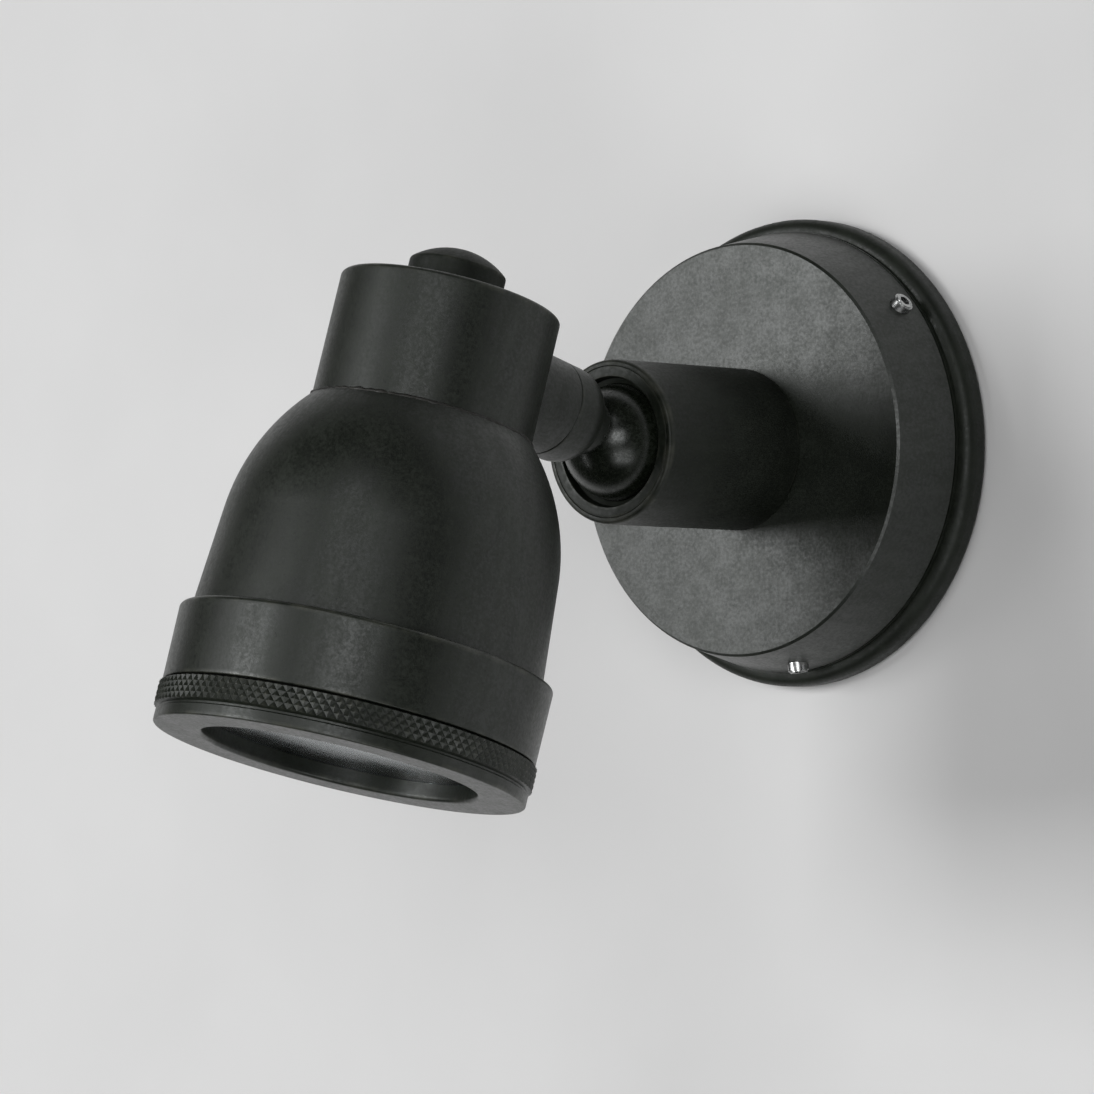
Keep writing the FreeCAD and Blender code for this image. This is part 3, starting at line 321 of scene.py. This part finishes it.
def with_margins(corners):
    """The outline's points, with one more on each long flat beside a rounded corner."""
    points = []
    for index, corner in enumerate(corners):
        before, after = corners[index - 1], corners[(index + 1) % len(corners)]
        sides = [None, None]
        if len(corner) == 3:
            reach = setback(before, corner, after) + MARGIN
            for side, other in enumerate((before, after)):
                length, step = chord(corner, other)
                if length > 2 * reach:
                    sides[side] = (corner[0] + step[0] * reach, corner[1] + step[1] * reach)
        points += [point for point in (sides[0], corner, sides[1]) if point]
    return points


def edit(piece, choose=None):
    """Opens a piece in edit mode with the vertices that a test picks selected, or all of them."""
    bpy.ops.object.select_all(action="DESELECT")
    bpy.context.view_layer.objects.active = piece
    piece.select_set(True)
    bpy.ops.object.mode_set(mode="EDIT")
    bpy.ops.mesh.select_mode(type="VERT")
    bpy.ops.mesh.select_all(action="DESELECT" if choose else "SELECT")
    bpy.ops.object.mode_set(mode="OBJECT")
    if choose:
        for vertex in piece.data.vertices:
            vertex.select = bool(choose(vertex.co))
    bpy.ops.object.mode_set(mode="EDIT")


def outline(name, corners):
    """A closed line of edges in the local XZ plane. A corner is (radius, height) or, where its edge
    is broken, (radius, height, round)."""
    points = with_margins(corners)
    bpy.ops.object.select_all(action="DESELECT")
    bpy.ops.mesh.primitive_plane_add(size=1)
    piece = bpy.context.object
    piece.name = name
    piece.data.name = name
    bpy.ops.object.mode_set(mode="EDIT")
    bpy.ops.mesh.select_all(action="SELECT")
    bpy.ops.mesh.merge(type="CENTER")
    bpy.ops.transform.translate(value=(points[0][0], 0, points[0][1]))
    for start, end in zip(points, points[1:] + points[:1]):
        step = (end[0] - start[0], 0, end[1] - start[1])
        bpy.ops.mesh.extrude_region_move(TRANSFORM_OT_translate={"value": step})
    bpy.ops.mesh.select_all(action="SELECT")
    bpy.ops.mesh.remove_doubles(threshold=SAME_PLACE / 2)
    bpy.ops.object.mode_set(mode="OBJECT")
    for index, corner in enumerate(corners):
        if len(corner) == 2:
            continue
        before, after = corners[index - 1], corners[(index + 1) % len(corners)]
        edit(piece, lambda at: math.hypot(at.x - corner[0], at.z - corner[1]) < SAME_PLACE)
        bpy.ops.mesh.bevel(offset=setback(before, corner, after), affect="VERTICES", profile=0.5,
                           segments=3 if corner[2] < LARGE_ROUND else 7)
        bpy.ops.object.mode_set(mode="OBJECT")
    return piece


def spun(piece, steps):
    """Spins an outline about local Z and closes it."""
    edit(piece)
    bpy.ops.mesh.spin(steps=steps, angle=2 * math.pi, center=(0, 0, 0), axis=(0, 0, 1))
    bpy.ops.mesh.select_all(action="SELECT")
    bpy.ops.mesh.remove_doubles(threshold=SAME_PLACE)
    bpy.ops.mesh.normals_make_consistent(inside=False)
    bpy.ops.object.mode_set(mode="OBJECT")


def mark_edge_wear_and_highlight(piece, corners):
    """Marks the broken edges, which the skin paints a paler grey for wear and as a painted highlight, in an
    attribute that it reads.
    """
    edges = [corner for corner in corners if len(corner) == 3]
    edge_wear_and_highlight = piece.data.attributes.new("edge_wear_and_highlight", "FLOAT", "POINT")
    values = []
    for vertex in piece.data.vertices:
        radius = math.hypot(vertex.co.x, vertex.co.y)
        near = any(
            math.hypot(radius - edge[0], vertex.co.z - edge[1]) < WEAR_AND_HIGHLIGHT_REACH * edge[2]
            for edge in edges
        )
        values.append(1.0 if near else 0.0)
    edge_wear_and_highlight.data.foreach_set("value", values)


def turned(name, corners, steps=192):
    """A piece turned from its outline, still in its own axes."""
    piece = outline(name, corners)
    spun(piece, steps)
    mark_edge_wear_and_highlight(piece, corners)
    return piece


def drill(piece, radius, length, start, way):
    """Drills a round hole from start along way."""
    way = Vector(way).normalized()
    bpy.ops.object.select_all(action="DESELECT")
    bpy.ops.mesh.primitive_cylinder_add(
        vertices=48, radius=radius, depth=length, location=Vector(start) + way * length / 2,
        rotation=way.to_track_quat("Z", "Y").to_euler())
    bit = bpy.context.object
    hole = piece.modifiers.new("hole", "BOOLEAN")
    hole.operation = "DIFFERENCE"
    hole.object = bit
    hole.solver = "EXACT"
    bpy.context.view_layer.objects.active = piece
    bpy.ops.object.modifier_apply(modifier=hole.name)
    bpy.data.objects.remove(bit)


def set_in(piece, axes, body, skin, slot_name, *nodes, smooth_angle=32):
    """Puts a finished piece in its place, with its mesh in metres and its object at the origin, and
    says which body it rides on and which nodes it stands for. The slot name it is given is not used."""
    bpy.ops.object.select_all(action="DESELECT")
    piece.select_set(True)
    bpy.context.view_layer.objects.active = piece
    piece.matrix_world = axes @ Matrix.Scale(MM, 4)
    bpy.ops.object.transform_apply(location=True, rotation=True, scale=True)
    bpy.ops.object.shade_smooth_by_angle(angle=math.radians(smooth_angle))
    weigh = piece.modifiers.new("weigh", "WEIGHTED_NORMAL")
    weigh.keep_sharp = True
    bpy.ops.object.modifier_apply(modifier=weigh.name)
    piece.data.materials.clear()
    piece.data.materials.append(skin)
    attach(piece, body)
    if nodes:
        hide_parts(*nodes)


# ---- pieces on the wall; heights are from the wall ----

CANOPY_FACE = 19.6
HOUSING_RADIUS = 15.4
HOUSING_END = 56.3
SPIGOT_RADIUS = 11.0
SPIGOT_BACK = 12.0
WIRE_HOLE = 8.5
BALL_RADIUS = 11.0


def dressed_housing():
    """The ball's housing: a turned barrel with a rounded rim and a threaded spigot. Its mouth takes
    the retaining ring, and the pocket behind that holds the ball's cup."""
    mouth, mouth_floor = 14.2, 50.95
    pocket, pocket_floor = 12.6, 40.5
    housing = turned("socket_housing_turned", [
        (WIRE_HOLE, SPIGOT_BACK),
        (SPIGOT_RADIUS, SPIGOT_BACK, 0.4),
        (SPIGOT_RADIUS, CANOPY_FACE),
        (HOUSING_RADIUS, CANOPY_FACE, 0.2),
        (HOUSING_RADIUS, HOUSING_END, 0.9),
        (mouth, HOUSING_END, 0.08),
        (mouth, mouth_floor),
        (pocket, mouth_floor),
        (pocket, pocket_floor),
        (WIRE_HOLE, pocket_floor),
    ])
    set_in(housing, WALL_AXES, "base", WALL_SKIN, "dark_metal", "socket_housing")


def dressed_retainer():
    """The ring in the housing's mouth: flush with the rim, with a lip just ahead of the ball's
    widest circle and a dark gap round the ball."""
    ball_height = -BALL_CENTRE.y / MM
    outside, back, face = 14.15, 51.0, HOUSING_END - 0.05
    seat = BALL_RADIUS + 0.1
    lip = 1.2
    lip_radius = math.sqrt(seat ** 2 - lip ** 2)
    throat, throat_end = 11.9, ball_height + lip + 0.5
    retainer = turned("retaining_ring_turned", [
        (seat, back),
        (outside, back),
        (outside, face, 0.08),
        (12.2, face, 0.15),
        (throat, throat_end),
        (lip_radius, ball_height + lip),
        (seat, ball_height),
    ])
    set_in(retainer, WALL_AXES, "base", WALL_SKIN, "dark_metal", "ball_retaining_ring")


# ---- the ball; heights are from its centre along the stem ----

def dressed_ball():
    """The ball with its neck and collar, turned from one bar and bored for the leads. The bore is
    countersunk at the back, and the ball is polished."""
    neck, neck_end = 5.2, 12.4
    collar, collar_back, collar_face = 9.1, 18.4, 22.6
    socket, socket_floor = 4.95, 15.8
    bore, countersink = 3.2, 4.6
    first, last = -math.acos(countersink / BALL_RADIUS), math.acos(neck / BALL_RADIUS)
    ball = round_points((0, 0), BALL_RADIUS, first, last, 28)
    swivel = turned("ball_turned", [
        *ball,
        *arc_between((neck, neck_end), (collar, collar_back), 6.6, 10),
        (collar, collar_face, 0.3),
        (socket, collar_face),
        (socket, socket_floor),
        (bore, socket_floor),
        (bore, countersink - bore + ball[0][1]),
    ])
    polished = swivel.data.attributes.new("polished", "FLOAT", "POINT")
    polished.data.foreach_set("value", [
        1.0 if vertex.co.length < BALL_RADIUS + 0.1 else 0.0 for vertex in swivel.data.vertices
    ])
    set_in(swivel, STEM_AXES, "ball", STEM_SKIN, "dark_metal", "swivel_ball")


# ---- the head; heights are from the stem's axis along the head ----

CAP_RADIUS = 20.25
CAP_TOP = -11.0
CAP_BOTTOM = 12.6
CAP_WALL = 2.2
PLUG_RADIUS = 8.9
BELL_CONE = math.radians(4.3)
BELL_ARC = 39.0
BELL_ARC_END = 36.0
BELL_MOUTH = 32.1
BELL_WALL = 2.2
BELL_END = 60.5
BAND_TOP = 54.7
BAND_END = 68.8
BAND_RADIUS = 34.2
KNURL_RADIUS = 34.6
KNURL_COUNT = 120      # diamonds round the bezel
KNURL_ROWS = 4
KNURL_DEPTH = 0.42
KNURL_EDGE = 0.85      # how much of that depth the first and last rows have
KNURL_TIP = 0.16       # what the knurling tool leaves blunt on a peak
KNURL_START = 69.3
KNURL_END = 73.35
BEZEL_FACE = 76.4


def dressed_cap():
    """The cap: a drawn drum with a rounded top edge, open below, bored for the plug and the stub."""
    plug_hole, stub_hole = 5.05, 7.45
    under = CAP_TOP + 2.4
    cap = turned("cap_turned", [
        (plug_hole, CAP_TOP),
        (CAP_RADIUS, CAP_TOP, 0.8),
        (CAP_RADIUS, CAP_BOTTOM),
        (CAP_RADIUS - CAP_WALL, CAP_BOTTOM),
        (CAP_RADIUS - CAP_WALL, under),
        (plug_hole, under),
    ])
    drill(cap, stub_hole, 30, (0, 0, 0), (1, 0, 0))
    set_in(cap, HEAD_AXES, "head", HEAD_SKIN, "dark_metal", "cap")


def dressed_plug():
    """The plug on the cap: a low domed button on a skirt, with a soft edge between them. Below are a
    groove for its O-ring and a stud that goes into the cap."""
    dome, skirt_top = 3.4, CAP_TOP - 5.4
    groove_outside, groove_inside, groove_floor = 7.8, 5.8, CAP_TOP - 1.5
    stud, stud_end = 5.0, CAP_TOP + 5.0
    curve = (PLUG_RADIUS ** 2 + dome ** 2) / (2 * dome)
    centre = skirt_top - dome + curve
    widest = math.asin(PLUG_RADIUS / curve)
    arc = [
        (curve * math.sin(turn), centre - curve * math.cos(turn))
        for turn in (widest * share / 12 for share in range(12))
    ]
    plug = turned("top_plug_turned", [
        *arc,
        (PLUG_RADIUS, skirt_top, 0.55),
        (PLUG_RADIUS, CAP_TOP, 0.2),
        (groove_outside, CAP_TOP),
        (groove_outside, groove_floor),
        (groove_inside, groove_floor),
        (groove_inside, CAP_TOP),
        (stud, CAP_TOP),
        (stud, stud_end),
        (0, stud_end),
    ])
    set_in(plug, HEAD_AXES, "head", DULL_SKIN, "dark_metal", "top_plug")


def dressed_bell():
    """The bell: a spun shade, its shoulder an arc that runs into a slight cone. Its top is open to
    the cap, with two screw holes beside the opening."""
    opening, screw_hole, screw_place = 13.5, 1.55, 15.7
    arc_end_radius = BELL_MOUTH - (BAND_TOP - BELL_ARC_END) * math.tan(BELL_CONE)
    centre = (
        arc_end_radius - BELL_ARC * math.cos(BELL_CONE),
        BELL_ARC_END + BELL_ARC * math.sin(BELL_CONE),
    )
    under = CAP_BOTTOM + BELL_WALL
    inner = BELL_ARC - BELL_WALL
    outer_start = -math.asin((centre[1] - CAP_BOTTOM) / BELL_ARC)
    inner_end = -math.asin((centre[1] - under) / inner)
    bell = turned("bell_spun", [
        (opening, CAP_BOTTOM),
        *round_points(centre, BELL_ARC, outer_start, -BELL_CONE, 18),
        (BELL_MOUTH, BAND_TOP),
        (BELL_MOUTH, BELL_END),
        (BELL_MOUTH - BELL_WALL, BELL_END),
        (BELL_MOUTH - BELL_WALL, BAND_TOP),
        *round_points(centre, inner, -BELL_CONE, inner_end, 18),
        (opening, under),
    ], steps=224)
    for side in (-1, 1):
        drill(bell, screw_hole, 6, (side * screw_place, 0, CAP_BOTTOM - 2), (0, 0, 1))
    set_in(bell, HEAD_AXES, "head", HEAD_SKIN, "dark_metal", "bell")


def braze_seam():
    """The braze that runs between the cap and the bell, an uneven bead left as it flowed."""
    bpy.ops.object.select_all(action="DESELECT")
    bpy.ops.mesh.primitive_torus_add(major_radius=CAP_RADIUS + 0.05, minor_radius=0.42,
                                     major_segments=300, minor_segments=12,
                                     location=(0, 0, CAP_BOTTOM - 0.02))
    seam = bpy.context.object
    seam.name = "braze_seam"
    bpy.ops.object.transform_apply(location=True)
    flow = bpy.data.textures.new("flow", "CLOUDS")
    flow.noise_scale = 1.1
    flow.noise_depth = 3
    swell = seam.modifiers.new("swell", "DISPLACE")
    swell.texture = flow
    swell.strength = 0.55
    swell.mid_level = 0.55
    bpy.ops.object.modifier_apply(modifier=swell.name)
    set_in(seam, HEAD_AXES, "head", BRAZE, "dark_metal", smooth_angle=60)


def dressed_band():
    """The rim band: turned, brazed on the bell's mouth, and tapering a little to its end. The end has
    a recess for the O-ring, a channel for the bezel's skirt, and an inner skirt that seats the
    glass."""
    end_radius = 34.05
    recess, recess_floor = 33.05, 67.6
    channel, channel_floor = 31.55, 62.5
    skirt_outside, skirt_inside, skirt_end = 29.2, 27.4, 68.6
    band = turned("rim_band_turned", [
        (BELL_MOUTH, BAND_TOP + 0.35),
        (BELL_MOUTH + 0.3, BAND_TOP),
        (BAND_RADIUS, BAND_TOP, 0.8),
        (end_radius, BAND_END, 0.3),
        (recess, BAND_END),
        (recess, recess_floor),
        (channel, recess_floor),
        (channel, channel_floor),
        (skirt_outside, channel_floor),
        (skirt_outside, skirt_end),
        (skirt_inside, skirt_end),
        (skirt_inside, BELL_END),
        (BELL_MOUTH, BELL_END),
    ], steps=224)
    set_in(band, HEAD_AXES, "head", RING_SKIN, "dark_metal", "rim_band")


def knurled_bezel():
    """The bezel: a turned ring with a flat face over the glass, a threaded skirt, and a diamond knurl
    rolled into its grip, with a groove between grip and face."""
    root = KNURL_RADIUS - KNURL_DEPTH
    pitch = (KNURL_END - KNURL_START) / KNURL_ROWS
    rows = [KNURL_START + pitch * row for row in range(KNURL_ROWS + 1)]
    skirt_inside, skirt_outside, skirt_end = 29.55, 31.45, 62.9
    back, groove, face_radius = 69.05, 33.65, 34.0
    mouth, glass_seat = 25.2, 73.25
    bezel = turned("bezel_knurled", [
        (skirt_inside, skirt_end),
        (skirt_outside, skirt_end),
        (skirt_outside, back),
        (root - 0.3, back),
        *[(root, row) for row in rows],
        (root - 0.25, KNURL_END + 0.25),
        (groove, KNURL_END + 0.4),
        (groove, KNURL_END + 0.75),
        (face_radius, KNURL_END + 1.0),
        (face_radius, BEZEL_FACE, 0.35),
        (mouth, BEZEL_FACE, 0.7),
        (mouth, glass_seat),
        (skirt_inside, glass_seat),
    ], steps=2 * KNURL_COUNT)
    step = math.pi / KNURL_COUNT

    def knurl_height(at):
        """How much of the knurl's depth a point stands at: 1 on a peak, 0 in a groove."""
        on_root = abs(math.hypot(at.x, at.y) - root) < 0.01
        if not on_root or not KNURL_START - 0.01 < at.z < KNURL_END + 0.01:
            return 0
        row = round((at.z - KNURL_START) / pitch)
        around = round(math.atan2(at.y, at.x) / step)
        if (row + around) % 2:
            return 0
        return KNURL_EDGE if row in (0, KNURL_ROWS) else 1

    for height in (1, KNURL_EDGE):
        grow = (root + KNURL_DEPTH * height) / root
        edit(bezel, lambda at: knurl_height(at) == height)
        bpy.ops.transform.resize(value=(grow, grow, 1), center_override=(0, 0, 0))
        bpy.ops.object.mode_set(mode="OBJECT")
    edit(bezel, lambda at: math.hypot(at.x, at.y) > root - 0.01 and at.z < KNURL_END + 0.01)
    bpy.ops.mesh.select_mode(type="FACE")
    bpy.ops.mesh.quads_convert_to_tris(quad_method="SHORTEST_DIAGONAL")
    bpy.ops.object.mode_set(mode="OBJECT")
    edit(bezel, lambda at: math.hypot(at.x, at.y) > KNURL_RADIUS - 0.05)
    bpy.ops.mesh.bevel(offset=KNURL_TIP, segments=1, affect="VERTICES")
    bpy.ops.object.mode_set(mode="OBJECT")
    # The knurl's peaks get the same paler grey: wear, and a painted highlight on them.
    edge_wear_and_highlight = bezel.data.attributes["edge_wear_and_highlight"]
    for vertex, mark in zip(bezel.data.vertices, edge_wear_and_highlight.data):
        if math.hypot(vertex.co.x, vertex.co.y) > root + 0.3 and vertex.co.z < KNURL_END:
            mark.value = 1.0
    set_in(bezel, HEAD_AXES, "bezel", RING_SKIN, "bezel_metal", "bezel")


def faceted_reflector():
    """The lamp's reflector: pressed glass with rows of flat facets, silvered."""
    neck, rim, wall = 13.5, 25.0, 1.6
    neck_height, flare_end, rim_end = 38.0, 65.9, 68.9
    flare = arc_between((neck, neck_height), (rim, flare_end), 42.0, 9)
    reflector = turned("reflector_faceted", [
        *flare,
        (rim, rim_end),
        (rim - wall, rim_end),
        *[(radius - wall, height) for radius, height in reversed(flare)],
    ], steps=40)
    set_in(reflector, HEAD_AXES, "head", LAMP_MIRROR, "lamp_mirror", "lamp_reflector", smooth_angle=3)


for make in (
    dressed_housing, dressed_retainer, dressed_ball, dressed_cap, dressed_plug, dressed_bell,
    braze_seam, dressed_band, knurled_bezel, faceted_reflector,
):
    make()


# ---- camera, lights and wall ----

def set_camera():
    """The photograph's view, fitted to the light's outlines; the image is 1094 pixels square."""
    right = Vector((0.73503349, 0.67781579, -0.01708183))
    up = Vector((0.04877952, -0.02773564, 0.9984244))
    back = right.cross(up)
    data = bpy.data.cameras.new("camera")
    data.sensor_width = 36
    data.lens = 195
    data.clip_start = 0.01
    camera = bpy.data.objects.new("camera", data)
    bpy.context.scene.collection.objects.link(camera)
    turn = Matrix((right, up, back)).transposed().to_4x4()
    camera.matrix_world = Matrix.Translation(Vector((735.889, -873.268, -78.266)) * MM) @ turn
    bpy.context.scene.camera = camera


LIGHT_DISTANCE = 2.6     # metres from the ball


def softbox(name, azimuth, elevation, size, power):
    """A soft light that faces the ball. Azimuth runs from +X towards +Y, in degrees; size is in
    metres and power in watts."""
    data = bpy.data.lights.new(name, "AREA")
    data.shape = "RECTANGLE"
    data.size, data.size_y = size
    data.energy = power
    lamp = bpy.data.objects.new(name, data)
    bpy.context.scene.collection.objects.link(lamp)
    turn, rise = math.radians(azimuth), math.radians(elevation)
    way = Vector((math.cos(rise) * math.cos(turn), math.cos(rise) * math.sin(turn), math.sin(rise)))
    lamp.location = BALL_CENTRE + LIGHT_DISTANCE * way
    lamp.rotation_euler = way.to_track_quat("Z", "Y").to_euler()


def painted_wall():
    """The wall, a hair behind the light: matt pale grey, and clear from its back so that the light's
    own back shows from there."""
    gap = 0.4 * MM
    bpy.ops.mesh.primitive_plane_add(size=6, location=(0, gap, 0), rotation=(math.pi / 2, 0, 0))
    wall = bpy.context.object
    wall.name = "wall"
    material, tree, shader = new_material("painted_wall")
    place = local_millimetres(tree, Matrix())
    colour = ramp(tree, noise(tree, place, 60), (0.3, "#d6d6d6"), (0.7, "#dadada"))
    tree.links.new(colour, shader.inputs["Base Color"])
    shader.inputs["Roughness"].default_value = 0.9
    behind = add(tree, "ShaderNodeNewGeometry").outputs["Backfacing"]
    clear = add(tree, "ShaderNodeBsdfTransparent").outputs[0]
    both = add(tree, "ShaderNodeMixShader", {0: behind, 1: shader.outputs[0], 2: clear})
    tree.links.new(both.outputs[0], tree.nodes["Material Output"].inputs["Surface"])
    wall.data.materials.append(material)


def studio():
    """A large soft key from the left with a weak light beyond it, one right of the camera, a faint
    one from above, and a pale floor's bounce on both sides."""
    world = bpy.data.worlds.new("studio")
    world.use_nodes = True
    world.node_tree.nodes["Background"].inputs["Color"].default_value = linear("#e8e9ea")
    world.node_tree.nodes["Background"].inputs["Strength"].default_value = 0.02
    bpy.context.scene.world = world
    bpy.context.scene.view_settings.view_transform = "Standard"
    softbox("key", -115, 8, (0.8, 1.0), 34)
    softbox("left", -138, 8, (0.8, 1.0), 6)
    softbox("camera_side", -55, 7, (1.2, 1.0), 16)
    softbox("top", -75, 34, (1.1, 1.1), 7)
    softbox("floor_left", -118, -26, (1.4, 1.0), 10)
    softbox("floor_right", -47, -32, (2.0, 1.2), 16)


bpy.ops.object.select_all(action="DESELECT")
set_camera()
painted_wall()
studio()
